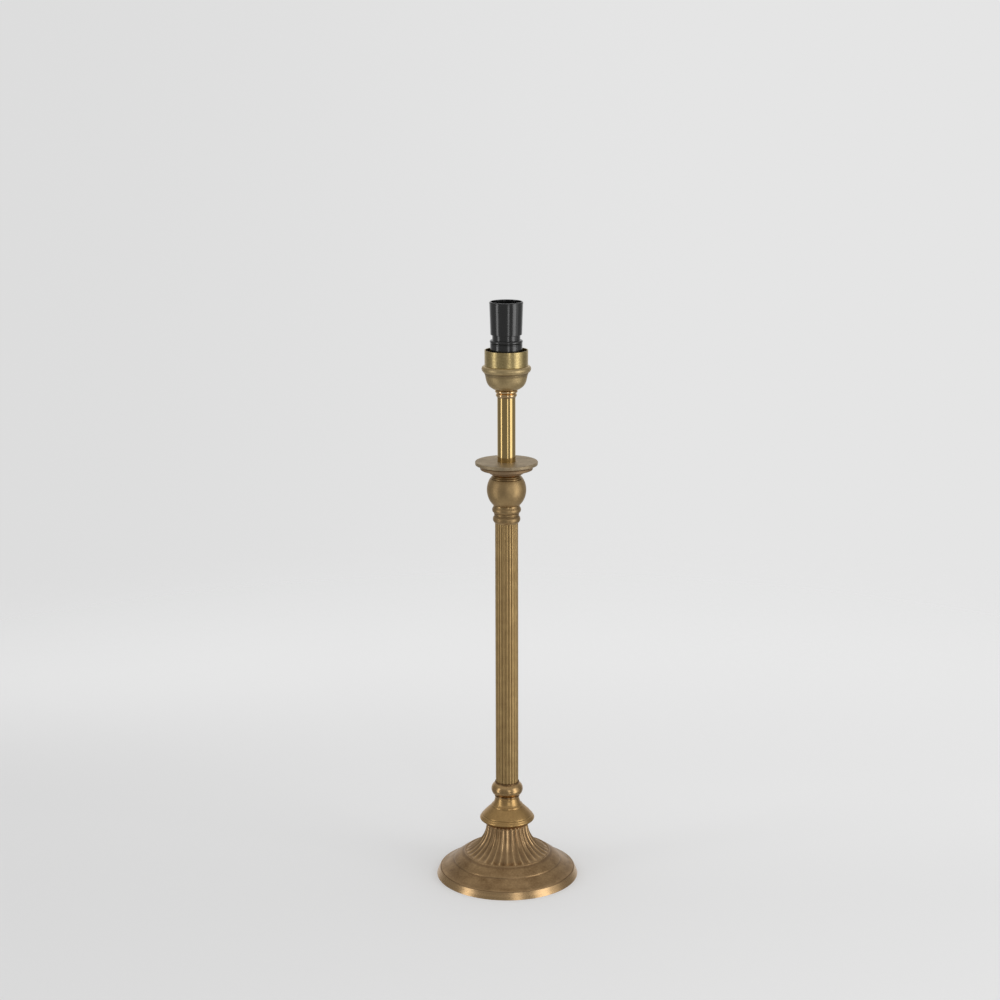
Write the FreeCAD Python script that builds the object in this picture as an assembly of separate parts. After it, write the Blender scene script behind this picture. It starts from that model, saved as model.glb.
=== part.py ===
import FreeCAD, Part
import math
import os

# A column table lamp in cast and turned brass, with a black bayonet lampholder.
# Millimetres. The origin is the centre of the underside, +Z runs up the column
# and +Y is the back, where the flex leaves the foot. Every piece is threaded on
# one hollow rod and drawn together by the nuts at its two ends.
# Turned pieces are drawn in narrow flats round the axis, all in step with each
# other, so that a round in a round keeps its clearance. What a stranger's part
# fits, the bulb's bore and the flex's bush, and the rod are true cylinders.

# ---- clearances between pieces ----
rod_clearance = 0.20        # round the hollow rod, in each piece threaded on it
socket_clearance = 0.10     # a tube or disc in the socket that locates it
column_clearance = 0.45     # round the reeds, where the column sinks into its collars
thread_clearance = 0.06     # the skirt on the barrel's thread
plunger_clearance = 0.08    # a plunger in its guide hole
stop_gap = 0.10             # a plunger's collar below the shoulder that stops it

# ---- hollow rod and its nuts ----
rod_radius = 5.0
rod_bore = 3.4
rod_below_nut = 2.0
rod_in_holder = 1.6
nut_flats = 17.0
nut_height = 5.0
base_washer_radius = 13.0
base_washer_height = 1.6

# ---- foot: a fluted bell on a turned rim ----
foot_radius = 73.3
foot_height = 56.6
foot_wall = 3.6
rim_height = 7.1
rim_taper = 3.2
rim_groove = 0.9
slope_height = 15.7         # the plain outer slope ends here, at the step
slope_radius = 55.6
step_rise = 1.0
border_radius = 44.0        # the fine ring that ends the flutes
border_height = 24.4
border_bead = 0.55
flute_count = 32
flute_share = 0.042         # a flute's depth as a share of the bell's radius there
flute_head = 0.09           # where along the bell each flute's round heads end
flute_tail = 0.93
flute_low_radius = 42.9
flute_top_radius = 21.4
flute_low_run = 17.2        # how far the bell's curve leaves along its lower slope
flute_low_slope = 27.3
flute_high_run = 13.2       # and how far it comes in below its upright top
pad_thickness = 1.5
pad_inset = 3.6
rim_land = 3.6              # width of the ledge that the pad is glued under
boss_depth = 8.5            # from the bell's top down to the washer's seat
cord_hole_height = 4.9
cord_bore = 2.55
cord_bush_wall = 0.45

# ---- knop above the foot ----
knop_radius = 28.2
knop_height = 28.4
knop_edge_height = 4.8      # widest ring above the knop's underside
knop_edge_round = 1.5
knop_waist_radius = 12.5
knop_shoulder_pull = 10.7
knop_shoulder_tuck = 6.6
knop_waist_pull = 10.0
knop_line_depth = 0.3

# ---- lower collar: a torus that the column sinks into ----
lower_collar_height = 16.2
lower_collar_radius = 16.3
lower_collar_core = 8.2
lower_collar_swell = 7.8
lower_collar_centre = 8.05
collar_ring_radius = 13.05
collar_ring_height = 1.5
column_seat_depth = 7.0

# ---- reeded column ----
column_length = 289.2
column_radius = 11.7
column_groove_radius = 10.9
column_bore = 9.2
reed_count = 22

# ---- upper collar: two beads under the ball ----
upper_collar_height = 18.3
upper_bead_radius = 14.55
lower_bead_radius = 13.85
bead_core = 10.8
upper_bead_swell = 4.2
lower_bead_swell = 4.2
upper_bead_centre = 13.7
lower_bead_centre = 4.0
collar_neck_radius = 13.3
collar_groove_radius = 12.8

# ---- ball, neck ring and drip pan ----
ball_radius = 19.8
ball_half_height = 21.1
neck_ring_radius = 13.5
neck_ring_height = 1.1
pan_radius = 31.5
pan_edge = 3.7
pan_height = 12.6
pan_tier_radius = 26.4
pan_tier_height = 2.8
pan_tier_drop = 5.5         # from the pan's top to the tier's upper edge
pan_foot_radius = 16.0
pan_socket_depth = 1.5

# ---- candle tube ----
candle_length = 67.8
candle_radius = 9.1
candle_wall = 1.2

# ---- cup: collar, bowl, lip ring and sleeve ----
cup_collar_height = 8.5
cup_collar_socket = 1.5
cup_collar_radius = 11.4
cup_collar_low_radius = 10.6
cup_collar_core = 8.2
cup_height = 23.5
cup_foot_radius = 12.5
cup_belly_radius = 21.25
cup_belly_height = 14.6
cup_wall = 2.0
cup_floor = 4.0
lip_radius = 24.6
lip_height = 20.5
sleeve_seat_depth = 4.0
sleeve_radius = 21.6
sleeve_wall = 0.9
sleeve_length = 19.6

# ---- lampholder ----
cap_height = 35.7
cap_radius = 16.0
cap_foot_radius = 15.8
cap_heel_radius = 11.5
cap_heel_height = 4.5
cap_floor = 6.5
cap_wall = 2.5
barrel_bead_radius = 16.4
barrel_bead_height = 3.5
barrel_rabbet = 1.0
barrel_neck_radius = 13.95
barrel_neck_height = 32.0
barrel_spigot = 4.5
barrel_spigot_wall = 2.4
bulb_bore = 11.3
bulb_seat = 0.4             # step in to the well that holds the contact block
slot_width = 2.8
slot_depth = 8.5
slot_turn = 20.0
slot_reach = 6.0
skirt_gap = 5.1             # free thread between the bead and the skirt, at rest
skirt_length = 32.75
skirt_low_radius = 15.7
skirt_top_radius = 16.65
skirt_lip = 0.15
skirt_wall = 1.35
skirt_thread_length = 17.0

# ---- contacts ----
block_depth = 22.0          # from the barrel's mouth down to the block
block_height = 16.0
plunger_spacing = 11.0
plunger_radius = 1.75
plunger_collar = 0.6
plunger_collar_height = 1.5
plunger_reach = 5.5         # how far a plunger stands out of its block
plunger_guide = 6.0
spring_length = 6.4
spring_wire = 0.55
terminal_width = 4.4
terminal_height = 3.0
terminal_screw_radius = 1.2
terminal_screw_length = 3.0

# ---- how finely rounds are drawn ----
turning_facet_count = 28
small_facet_count = 16
rim_facet_count = 48
facets_per_flute = 3
facets_per_reed = 4
bead_steps = 3
curve_steps = 5

ORIGIN = FreeCAD.Vector(0, 0, 0)
UP = FreeCAD.Vector(0, 0, 1)
BACK = FreeCAD.Vector(0, 1, 0)

# ---- where each piece starts, stacked up the rod ----
rod_hole = rod_radius + rod_clearance
knop_bottom = foot_height
lower_collar_bottom = knop_bottom + knop_height
lower_collar_top = lower_collar_bottom + lower_collar_height
column_bottom = lower_collar_top - column_seat_depth
column_top = column_bottom + column_length
upper_collar_bottom = column_top - column_seat_depth
ball_bottom = upper_collar_bottom + upper_collar_height


def height_on_ball(radius):
    """Height above the ball's centre at which it has this radius."""
    return ball_half_height * math.sqrt(1 - (radius / ball_radius) ** 2)


ball_centre = ball_bottom + height_on_ball(collar_neck_radius)
neck_ring_bottom = ball_centre + height_on_ball(neck_ring_radius)
pan_bottom = neck_ring_bottom + neck_ring_height
pan_top = pan_bottom + pan_height
candle_bottom = pan_top - pan_socket_depth
candle_top = candle_bottom + candle_length
cup_collar_bottom = candle_top - cup_collar_socket
cup_bottom = cup_collar_bottom + cup_collar_height
cup_top = cup_bottom + cup_height
sleeve_bottom = cup_top - sleeve_seat_depth
cup_nut_bottom = cup_bottom + cup_floor
cap_bottom = cup_nut_bottom + nut_height
cap_top = cap_bottom + cap_height
bead_top = cap_top + barrel_rabbet + barrel_bead_height
barrel_top = bead_top + barrel_neck_height
block_top = barrel_top - block_depth
bulb_bottom = block_top + plunger_reach + stop_gap
well_radius = bulb_bore - bulb_seat
block_bottom = block_top - block_height
skirt_bottom = bead_top + skirt_gap
skirt_top = skirt_bottom + skirt_length
boss_underside = foot_height - boss_depth
base_washer_bottom = boss_underside - base_washer_height
base_nut_bottom = base_washer_bottom - nut_height
rod_bottom = base_nut_bottom - rod_below_nut
rod_top = cap_bottom + cap_floor + rod_in_holder
block_radius = well_radius - socket_clearance
spigot_radius = cap_radius - cap_wall - socket_clearance
plunger_collar_radius = plunger_radius + plunger_collar
spring_chamber_radius = plunger_collar_radius + plunger_clearance
plunger_shoulder = block_top - plunger_guide
plunger_collar_top = plunger_shoulder - stop_gap
plunger_bottom = plunger_collar_top - plunger_collar_height
spring_bottom = plunger_bottom - spring_length
plunger_offset = plunger_spacing / 2


# ---- outline helpers: a point is (radius from the axis, height) ----
def arc(centre, radii, start, end, steps):
    """Points on an elliptical arc; 0 degrees points away from the axis and 90 up."""
    points = []
    for step in range(steps + 1):
        angle = math.radians(start + (end - start) * step / steps)
        points.append((centre[0] + radii[0] * math.cos(angle),
                       centre[1] + radii[1] * math.sin(angle)))
    return points


def curve(start, start_pull, end_pull, end, parts):
    """Points on a cubic curve that leaves and arrives towards its two pulls.

    The parts, from 0 to 1, say how far along the curve each point lies."""
    points = []
    for t in parts:
        weights = ((1 - t) ** 3, 3 * t * (1 - t) ** 2, 3 * t * t * (1 - t), t ** 3)
        corners = (start, start_pull, end_pull, end)
        points.append(tuple(sum(w * c[axis] for w, c in zip(weights, corners))
                            for axis in range(2)))
    return points


def even(steps):
    """Evenly spread parts of a curve."""
    return [step / steps for step in range(steps + 1)]


def ring_of(radii, height, centre=(0, 0)):
    """Points round an upright axis, evenly turned, one for each radius."""
    points = []
    for step, radius in enumerate(radii):
        angle = 2 * math.pi * step / len(radii)
        points.append(FreeCAD.Vector(centre[0] + radius * math.cos(angle),
                                     centre[1] + radius * math.sin(angle), height))
    return points


def closed(corners):
    return Part.makePolygon(corners + corners[:1])


def facet(corners):
    """A flat face through its corners; corners that fall together count once."""
    distinct = []
    for corner in corners:
        if all(corner.distanceToPoint(other) > 1e-6 for other in distinct):
            distinct.append(corner)
    return Part.Face(closed(distinct))


def band(lower, upper, warped=False):
    """Facets between two rings of points; a warped band is cut into triangles."""
    facets = []
    for point in range(len(lower)):
        after = (point + 1) % len(lower)
        if warped:
            facets.append(facet([lower[point], lower[after], upper[point]]))
            facets.append(facet([lower[after], upper[after], upper[point]]))
        else:
            facets.append(facet([lower[point], lower[after], upper[after], upper[point]]))
    return facets


def solid_of(facets):
    """The solid that a closed set of flat faces bounds."""
    solid = Part.makeSolid(Part.makeShell(facets))
    if solid.Volume < 0:
        solid.reverse()
    return solid


def turned(outline, flats=turning_facet_count, centre=(0, 0)):
    """The solid that a closed outline sweeps round an upright axis, in narrow flats."""
    facets = []
    for point, (radius, height) in enumerate(outline):
        next_radius, next_height = outline[(point + 1) % len(outline)]
        here = ring_of([radius] * flats, height, centre)
        there = ring_of([next_radius] * flats, next_height, centre)
        if radius == 0 and next_radius == 0:
            continue
        if height != next_height:
            facets += band(here, there)
        elif radius == 0 or next_radius == 0:
            facets.append(facet(here if radius else there))
        else:
            facets.append(Part.makeFace([closed(here), closed(there)], "Part::FaceMakerBullseye"))
    return solid_of(facets)


def disc(radius, bottom, top, flats=turning_facet_count, centre=(0, 0)):
    return turned([(0, bottom), (radius, bottom), (radius, top), (0, top)], flats, centre)


def ring(inner, outer, bottom, top, flats=turning_facet_count, centre=(0, 0)):
    return turned([(inner, bottom), (outer, bottom), (outer, top), (inner, top)], flats, centre)


def cylinder(radius, bottom, top):
    """A true cylinder on the axis."""
    return Part.makeCylinder(radius, top - bottom, FreeCAD.Vector(0, 0, bottom))


def mirrored(shape):
    """The same piece on the other side of the axis."""
    return shape.mirror(ORIGIN, FreeCAD.Vector(1, 0, 0))


# ---- base ----
def hollowed(radius, share):
    """Radii round the bell: arrises between flutes, each hollow by a share of the radius."""
    radii = []
    for step in range(flute_count * facets_per_flute):
        across = 2 * (step % facets_per_flute) / facets_per_flute - 1
        radii.append(radius * (1 - share * (1 - across ** 2)))
    return radii


def bell_curve(parts):
    """The arrises' line, from the border ring up to the knop."""
    low = math.radians(flute_low_slope)
    start = (flute_low_radius, border_height)
    end = (flute_top_radius, foot_height)
    return curve(start, (start[0] - flute_low_run * math.cos(low),
                         start[1] + flute_low_run * math.sin(low)),
                 (end[0], end[1] - flute_high_run), end, parts)


def fluted_bell():
    """Hollow flutes side by side; each runs out in a head at both of its ends."""
    parts = [0, flute_head, 0.26, 0.43, 0.60, 0.77, flute_tail, 1]
    rings = []
    for part, (radius, height) in zip(parts, bell_curve(parts)):
        share = flute_share if flute_head <= part <= flute_tail else 0
        rings.append(ring_of(hollowed(radius, share), height))
    facets = [facet(rings[0]), facet(rings[-1])]
    for lower, upper in zip(rings[:-1], rings[1:]):
        facets += band(lower, upper, lower is rings[0] or upper is rings[-1])
    return solid_of(facets)


def rim_and_slope():
    """The turned plate below the flutes: rim, groove, slope, step and border ring."""
    rim_top = (foot_radius - rim_taper, rim_height)
    groove = (rim_top[0] - rim_groove, rim_height - rim_groove / 2)
    slope_start = (groove[0] - 0.5, rim_height + rim_groove / 2)
    slope_end = (slope_radius, slope_height)
    band_start = (slope_radius - 0.3, slope_height + step_rise)
    band_end = (border_radius + 2 * border_bead, border_height - border_bead)
    return turned(
        [(0, 0), (foot_radius, 0)]
        + curve((foot_radius - 0.4, 0.8), (foot_radius - 0.9, 2.6), (rim_top[0] + 0.6, 5.2),
                (rim_top[0] + 0.4, rim_height - 1), [0, 0.35, 0.7, 1])
        + [rim_top, groove]
        + curve(slope_start, (slope_start[0] - 4, slope_start[1] + 1.2),
                (slope_end[0] + 4, slope_end[1] - 2.6), slope_end, [0, 0.3, 0.65, 1])
        + curve(band_start, (band_start[0] - 2.0, band_start[1] + 1.9),
                (band_end[0] + 4.0, band_end[1] - 2.0), band_end, [0, 0.33, 0.67, 1])
        + [(border_radius + border_bead, border_height + border_bead / 2),
           (border_radius, border_height + border_bead), (flute_low_radius, border_height),
           (0, border_height)], rim_facet_count)


def foot_cavity():
    """The hollow under the casting, which leaves an even wall and a boss at the top."""
    ledge = foot_radius - pad_inset - rim_land
    return turned([
        (0, -1), (foot_radius - pad_inset, -1), (foot_radius - pad_inset, pad_thickness),
        (ledge, pad_thickness), (ledge - 1, rim_height - foot_wall + 1),
        (slope_radius - 3.5, slope_height - foot_wall + 1.2),
        (border_radius - 4.5, border_height - foot_wall - 0.6),
        (flute_top_radius + 8.5, (border_height + boss_underside) / 2 - foot_wall - 1),
        (base_washer_radius + 2.5, boss_underside - 4), (base_washer_radius + 2, boss_underside),
        (0, boss_underside)], flute_count)


def base_foot():
    casting = rim_and_slope().fuse(fluted_bell())
    rod_way = cylinder(rod_hole, boss_underside - 1, foot_height + 1)
    cord_hole = Part.makeCylinder(cord_bore + cord_bush_wall + socket_clearance / 2, foot_radius,
                                  FreeCAD.Vector(0, 0, cord_hole_height), BACK)
    return casting.cut([foot_cavity(), rod_way, cord_hole])


def base_pad():
    """A felt disc, glued into the recess under the rim."""
    return disc(foot_radius - pad_inset - socket_clearance, 0, pad_thickness, flute_count)


def cord_bush():
    """A plain insulating bush in the rim's back, where the flex comes out."""
    inner_end = foot_radius - pad_inset - rim_land + 0.6
    outer_end = foot_radius - rim_taper
    start = FreeCAD.Vector(0, inner_end, cord_hole_height)
    length = outer_end - inner_end
    outside = Part.makeCylinder(cord_bore + cord_bush_wall, length, start, BACK)
    return outside.cut(Part.makeCylinder(cord_bore, length, start, BACK))


def hexagon_nut(bottom):
    corners = ring_of([nut_flats / 2 / math.cos(math.radians(30))] * 6, bottom)
    nut = facet(corners).extrude(UP * nut_height)
    return nut.cut(disc(rod_hole, bottom, bottom + nut_height, small_facet_count))


def base_washer():
    return ring(rod_hole + rod_clearance, base_washer_radius, base_washer_bottom, boss_underside,
                small_facet_count)


def threaded_rod():
    tube = cylinder(rod_radius, rod_bottom, rod_top)
    return tube.cut(cylinder(rod_bore, rod_bottom, rod_top))


# ---- column ----
def base_knop():
    edge = knop_bottom + knop_edge_height
    top = knop_bottom + knop_height
    underside = [(rod_hole, knop_bottom), (flute_top_radius + 0.6, knop_bottom)]
    belly = arc((knop_radius - knop_edge_round, edge), (knop_edge_round, knop_edge_round), -65, 0, 3)
    shoulder = curve((knop_radius, edge + 0.6), (knop_radius - knop_shoulder_tuck, edge + knop_shoulder_pull),
                     (knop_waist_radius, top - knop_waist_pull),
                     (knop_waist_radius, top - 1.2), even(curve_steps))
    crown = [(knop_waist_radius + knop_line_depth, top), (rod_hole, top)]
    return turned(underside + belly + shoulder + crown)


def lower_collar():
    bottom = lower_collar_bottom
    top = lower_collar_top
    socket_radius = column_radius + column_clearance
    centre = (lower_collar_core, bottom + lower_collar_centre)
    radii = (lower_collar_radius - lower_collar_core, lower_collar_swell)
    ring = [(collar_ring_radius - 0.3, bottom), (collar_ring_radius, bottom + collar_ring_height / 2),
            (collar_ring_radius - 0.3, bottom + collar_ring_height)]
    torus = arc(centre, radii, -60, 66, curve_steps)
    return turned(
        [(rod_hole, bottom)] + ring + torus
        + [(socket_radius + 0.3, top), (socket_radius, top - 0.4), (socket_radius, column_bottom),
           (rod_hole, column_bottom)])


def column_tube():
    """Convex reeds side by side, drawn as one tube."""
    radii = []
    for step in range(reed_count * facets_per_reed):
        across = 2 * (step % facets_per_reed) / facets_per_reed - 1
        swell = math.sqrt(1 - across ** 2)
        radii.append(column_groove_radius + (column_radius - column_groove_radius) * swell)
    reeds = facet(ring_of(radii, column_bottom)).extrude(UP * column_length)
    return reeds.cut(disc(column_bore, column_bottom, column_top))


def upper_collar():
    bottom = upper_collar_bottom
    top = ball_bottom
    socket_radius = column_radius + column_clearance
    low_bead = arc((bead_core, bottom + lower_bead_centre),
                   (lower_bead_radius - bead_core, lower_bead_swell), -62, 62, bead_steps)
    high_bead = arc((bead_core, bottom + upper_bead_centre),
                    (upper_bead_radius - bead_core, upper_bead_swell), -62, 45, bead_steps)
    groove_height = (low_bead[-1][1] + high_bead[0][1]) / 2
    return turned(
        [(rod_hole, column_top), (socket_radius, column_top), (socket_radius, bottom)]
        + low_bead + [(collar_groove_radius, groove_height)] + high_bead
        + [(collar_neck_radius, top), (rod_hole, top)])


def ball_knop():
    bottom_angle = -math.degrees(math.asin((ball_centre - ball_bottom) / ball_half_height))
    top_angle = math.degrees(math.asin((neck_ring_bottom - ball_centre) / ball_half_height))
    sides = arc((0, ball_centre), (ball_radius, ball_half_height), bottom_angle, top_angle,
                curve_steps + 2)
    return turned([(rod_hole, ball_bottom)] + sides + [(rod_hole, neck_ring_bottom)])


def pan_neck_ring():
    middle = neck_ring_bottom + neck_ring_height / 2
    bead = arc((neck_ring_radius - 0.7, middle), (0.7, neck_ring_height / 2), -90, 90, 2)
    return turned([(rod_hole, neck_ring_bottom)] + bead + [(rod_hole, pan_bottom)])


def drip_pan():
    tier_top = pan_top - pan_tier_drop
    tier_bottom = tier_top - pan_tier_height
    edge_bottom = pan_top - pan_edge
    socket_radius = candle_radius + socket_clearance
    underside = curve((pan_foot_radius, pan_bottom), (pan_foot_radius + 2, pan_bottom + 2.2),
                      (pan_tier_radius - 4, tier_bottom - 1.0),
                      (pan_tier_radius - 0.6, tier_bottom), even(3))
    return turned(
        [(rod_hole, pan_bottom)] + underside
        + [(pan_tier_radius, tier_bottom + 0.5), (pan_tier_radius, tier_top),
           (pan_tier_radius - 0.8, tier_top + 0.6), (pan_radius - 1.4, edge_bottom),
           (pan_radius - 0.2, edge_bottom + 0.5), (pan_radius, pan_top - 0.5),
           (pan_radius - 0.5, pan_top), (socket_radius, pan_top), (socket_radius, candle_bottom),
           (rod_hole, candle_bottom)])


def candle_tube():
    return ring(candle_radius - candle_wall, candle_radius, candle_bottom, candle_top)


# ---- cup ----
def cup_collar():
    bottom = cup_collar_bottom
    top = cup_bottom
    socket_radius = candle_radius + socket_clearance
    half = cup_collar_height / 2
    low_bead = arc((cup_collar_core, bottom + half * 0.58), (cup_collar_low_radius - cup_collar_core,
                   half * 0.55), -60, 75, bead_steps)
    high_bead = arc((cup_collar_core, bottom + half * 1.5), (cup_collar_radius - cup_collar_core,
                    half * 0.5), -72, 72, bead_steps)
    return turned(
        [(rod_hole, candle_top), (socket_radius, candle_top), (socket_radius, bottom),
         (socket_radius + 0.2, bottom)]
        + low_bead + high_bead + [(cup_collar_core + 0.4, top), (rod_hole, top)])


def holder_cup():
    bottom = cup_bottom
    belly = bottom + cup_belly_height
    lip = bottom + lip_height
    seat_radius = sleeve_radius + socket_clearance
    bowl = curve((cup_foot_radius, bottom), (cup_foot_radius + 5.2, bottom + 2.6),
                 (cup_belly_radius - 1.5, belly - 10.0), (cup_belly_radius, belly), even(curve_steps))
    inside = curve((cup_belly_radius - cup_wall, belly), (cup_belly_radius - cup_wall - 1.5, belly - 7.5),
                   (cup_foot_radius + 3.0, bottom + cup_floor + 0.5),
                   (cup_foot_radius - 1, bottom + cup_floor), even(2))
    ring = [(cup_belly_radius + 0.5, belly + 0.6)]
    ring += curve((cup_belly_radius + 0.7, belly + 1.8), (lip_radius - 1.5, lip - 3.5),
                  (lip_radius - 0.1, lip - 2.0), (lip_radius, lip), even(3))
    ring += [(lip_radius - 0.7, lip + 1.9), (lip_radius - 2.2, cup_top)]
    return turned(
        [(rod_hole, bottom)] + bowl + ring
        + [(seat_radius, cup_top), (seat_radius, sleeve_bottom),
           (cup_belly_radius - cup_wall, sleeve_bottom)]
        + inside + [(rod_hole, bottom + cup_floor)])


def cup_sleeve():
    return ring(sleeve_radius - sleeve_wall, sleeve_radius, sleeve_bottom,
                sleeve_bottom + sleeve_length)


# ---- lampholder ----
def lampholder_cap():
    floor = cap_bottom + cap_floor
    inside = cap_radius - cap_wall
    return turned([
        (rod_hole, cap_bottom), (cap_heel_radius, cap_bottom),
        (cap_foot_radius, cap_bottom + cap_heel_height), (cap_radius, cap_top),
        (inside, cap_top), (inside, floor), (rod_hole, floor)])


def bayonet_slot(turn):
    """One J slot through the barrel: down from the mouth, then round to its hook."""
    reach = barrel_neck_radius + 1
    fall = Part.makeBox(reach, slot_width, slot_depth,
                        FreeCAD.Vector(0, -slot_width / 2, barrel_top - slot_depth))
    hook_height = barrel_top - slot_depth
    hook = Part.makeCylinder(reach, slot_width, FreeCAD.Vector(0, 0, hook_height), UP, slot_turn)
    slot = fall.fuse(hook)
    slot.rotate(ORIGIN, UP, turn)
    return slot


def lampholder_barrel():
    rabbet_top = cap_top + barrel_rabbet
    ledge_bore = block_radius - 1.2
    spigot_bottom = cap_top - barrel_spigot
    bead = arc((barrel_bead_radius - 1.4, rabbet_top + barrel_bead_height / 2),
               (1.4, barrel_bead_height / 2), -70, 90, bead_steps)
    blank = turned(
        [(0, spigot_bottom), (spigot_radius, spigot_bottom), (spigot_radius, cap_top),
         (cap_radius, cap_top), (cap_radius, rabbet_top)]
        + bead + [(barrel_neck_radius, bead_top), (barrel_neck_radius, barrel_top), (0, barrel_top)])
    bore = cylinder(bulb_bore, bulb_bottom, barrel_top)
    well = disc(well_radius, block_bottom, bulb_bottom)
    ledge = disc(ledge_bore, spigot_bottom, block_bottom)
    return blank.cut([bore, well, ledge, bayonet_slot(0), bayonet_slot(180)])


def shade_skirt():
    """The tapered skirt that screws down the barrel and clamps a shade's ring."""
    thread_radius = barrel_neck_radius + thread_clearance
    thread_top = skirt_bottom + skirt_thread_length
    lip_bottom = skirt_top - 2.4
    inside_top = skirt_top_radius - skirt_wall
    return turned([
        (thread_radius, skirt_bottom), (skirt_low_radius - 0.4, skirt_bottom),
        (skirt_low_radius, skirt_bottom + 0.6), (skirt_top_radius, lip_bottom),
        (skirt_top_radius + skirt_lip, lip_bottom + 0.6), (skirt_top_radius + skirt_lip, skirt_top - 0.9),
        (skirt_top_radius - 0.4, skirt_top), (inside_top, skirt_top), (inside_top - 0.6, thread_top + 1),
        (thread_radius, thread_top)])


# ---- contacts ----
def contact_block():
    block = disc(block_radius, block_bottom, block_top)
    hole = turned([(0, spring_bottom), (spring_chamber_radius, spring_bottom),
                   (spring_chamber_radius, plunger_shoulder),
                   (plunger_radius + plunger_clearance, plunger_shoulder),
                   (plunger_radius + plunger_clearance, block_top), (0, block_top)],
                  small_facet_count, (plunger_offset, 0))
    return block.cut([hole, mirrored(hole)])


def contact_plunger():
    pin_top = block_top + plunger_reach
    return turned([(0, plunger_bottom), (plunger_collar_radius, plunger_bottom),
                   (plunger_collar_radius, plunger_collar_top), (plunger_radius, plunger_collar_top),
                   (plunger_radius, pin_top - 0.5), (plunger_radius - 0.5, pin_top), (0, pin_top)],
                  small_facet_count, (plunger_offset, 0))


def plunger_spring():
    """The space of the coil spring: a sleeve of its outer and inner diameter."""
    return ring(plunger_radius - spring_wire, plunger_radius, spring_bottom, plunger_bottom,
                small_facet_count, (plunger_offset, 0))


def terminal_place(height, inset=0.0):
    return FreeCAD.Vector(plunger_offset - terminal_width / 2 + inset, -terminal_width / 2, height)


def terminal_posts():
    post = Part.makeBox(terminal_width, terminal_width, terminal_height,
                        terminal_place(block_bottom - terminal_height))
    return Part.makeCompound([post, mirrored(post)])


def terminal_screws():
    """Clamp screws whose heads stand against the fronts of the two posts."""
    screw = disc(terminal_screw_radius, 0, terminal_screw_length, small_facet_count)
    screw.rotate(ORIGIN, FreeCAD.Vector(1, 0, 0), 90)
    screw.translate(FreeCAD.Vector(plunger_offset, -terminal_width / 2,
                                   block_bottom - terminal_height / 2))
    return Part.makeCompound([screw, mirrored(screw)])


PIECES = {
    "base_foot": base_foot,
    "base_pad": base_pad,
    "cord_bush": cord_bush,
    "base_nut": lambda: hexagon_nut(base_nut_bottom),
    "base_washer": base_washer,
    "threaded_rod": threaded_rod,
    "base_knop": base_knop,
    "lower_collar": lower_collar,
    "column_tube": column_tube,
    "upper_collar": upper_collar,
    "ball_knop": ball_knop,
    "pan_neck_ring": pan_neck_ring,
    "drip_pan": drip_pan,
    "candle_tube": candle_tube,
    "cup_collar": cup_collar,
    "holder_cup": holder_cup,
    "cup_sleeve": cup_sleeve,
    "cup_nut": lambda: hexagon_nut(cup_nut_bottom),
    "lampholder_cap": lampholder_cap,
    "lampholder_barrel": lampholder_barrel,
    "shade_skirt": shade_skirt,
    "contact_block": contact_block,
    "contact_plunger_left": lambda: mirrored(contact_plunger()),
    "contact_plunger_right": contact_plunger,
    "plunger_spring_left": lambda: mirrored(plunger_spring()),
    "plunger_spring_right": plunger_spring,
    "terminal_posts": terminal_posts,
    "terminal_screws": terminal_screws,
}

os.makedirs("parts", exist_ok=True)
for node, make in PIECES.items():
    shape = make()
    if not shape.isValid():
        raise ValueError(node + " is not a valid solid")
    shape.exportStep("parts/" + node + ".step")
print("overall height", round(skirt_top, 2))
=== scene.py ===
import math

import bmesh
import bpy
import numpy as np
from mathutils import Matrix, Vector


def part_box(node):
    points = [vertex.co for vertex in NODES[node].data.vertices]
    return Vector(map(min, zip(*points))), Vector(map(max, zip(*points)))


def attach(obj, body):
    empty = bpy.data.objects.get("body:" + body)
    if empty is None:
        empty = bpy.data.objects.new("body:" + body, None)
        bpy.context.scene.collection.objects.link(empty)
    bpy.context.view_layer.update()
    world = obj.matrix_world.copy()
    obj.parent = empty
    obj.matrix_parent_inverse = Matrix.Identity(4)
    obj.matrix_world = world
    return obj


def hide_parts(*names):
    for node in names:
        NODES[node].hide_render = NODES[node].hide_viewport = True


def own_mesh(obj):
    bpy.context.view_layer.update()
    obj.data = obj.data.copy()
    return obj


# The column table lamp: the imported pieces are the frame, and each turned piece is
# drawn again round its own outline, finely enough to look turned, cast or moulded.
# Everything is in metres, in the frame of the CAD model, unless a comment says mm.

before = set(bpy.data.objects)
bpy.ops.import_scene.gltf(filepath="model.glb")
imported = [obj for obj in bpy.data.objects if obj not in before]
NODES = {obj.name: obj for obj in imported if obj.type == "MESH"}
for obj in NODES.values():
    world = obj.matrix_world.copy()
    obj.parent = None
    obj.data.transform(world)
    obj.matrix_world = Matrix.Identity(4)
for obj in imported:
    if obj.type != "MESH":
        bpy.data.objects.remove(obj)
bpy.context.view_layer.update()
MM = 0.001

ON_PLANE = 2e-5      # a vertex this near a half-plane is read as lying on it
SAME_POINT = 1e-5    # vertices this near each other are one point of an outline
ON_AXIS = 1e-6       # a smaller radius is on the axis
TINY = 1e-9          # the least length that is divided by


# ---------------------------------------------------------------- outlines
def link(joined, i, j):
    joined.setdefault(i, set()).add(j)
    joined.setdefault(j, set()).add(i)


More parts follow.
